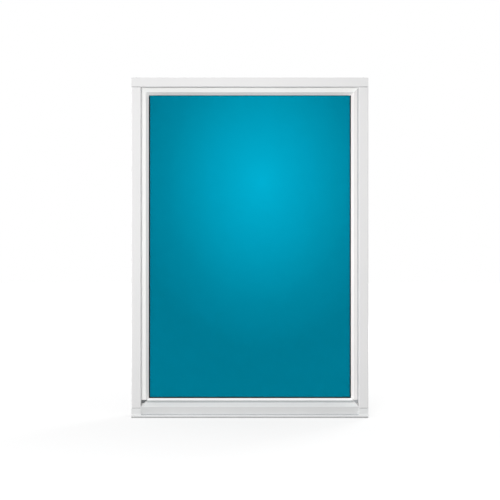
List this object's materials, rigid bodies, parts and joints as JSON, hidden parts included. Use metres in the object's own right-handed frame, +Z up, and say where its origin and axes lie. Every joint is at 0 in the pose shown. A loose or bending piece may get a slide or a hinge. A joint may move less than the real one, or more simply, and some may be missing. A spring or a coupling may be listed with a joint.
{
  "type": "fixed picture window",
  "caption": "Tall fixed picture window: white square-cut frame with a sloped sill, mitred glazing beads, black gasket and a tinted sealed glass unit.",
  "frame": {"origin": "under the middle of the sill's flat base, at the centre of the window's depth", "axes": "+X to the right seen from outdoors, +Y from outdoors to indoors, +Z up"},
  "size_m": [0.8128, 0.077, 1.1684],
  "materials": {
    "frame_white_vinyl": "satin white",
    "bead_white_vinyl": "satin white",
    "gasket_rubber": "matt black",
    "tape_foam": "matt black",
    "outer_glass": "blue-green tint",
    "inner_glass": "clear",
    "spacer_metal": "satin",
    "block_rubber": "matt dark grey"
  },
  "bodies": {
    "root": {"head": "frame_white_vinyl", "sill": "frame_white_vinyl", "left_jamb": "frame_white_vinyl", "right_jamb": "frame_white_vinyl", "top_glazing_bead": "bead_white_vinyl", "top_gasket": "gasket_rubber", "top_spacer": "spacer_metal", "top_glazing_tape": "tape_foam", "bottom_glazing_bead": "bead_white_vinyl", "bottom_gasket": "gasket_rubber", "bottom_spacer": "spacer_metal", "bottom_glazing_tape": "tape_foam", "left_glazing_bead": "bead_white_vinyl", "left_gasket": "gasket_rubber", "left_spacer": "spacer_metal", "left_glazing_tape": "tape_foam", "right_glazing_bead": "bead_white_vinyl", "right_gasket": "gasket_rubber", "right_spacer": "spacer_metal", "right_glazing_tape": "tape_foam", "outer_pane": "outer_glass", "inner_pane": "inner_glass", "left_setting_block": "block_rubber", "right_setting_block": "block_rubber"}
  },
  "joints": []
}
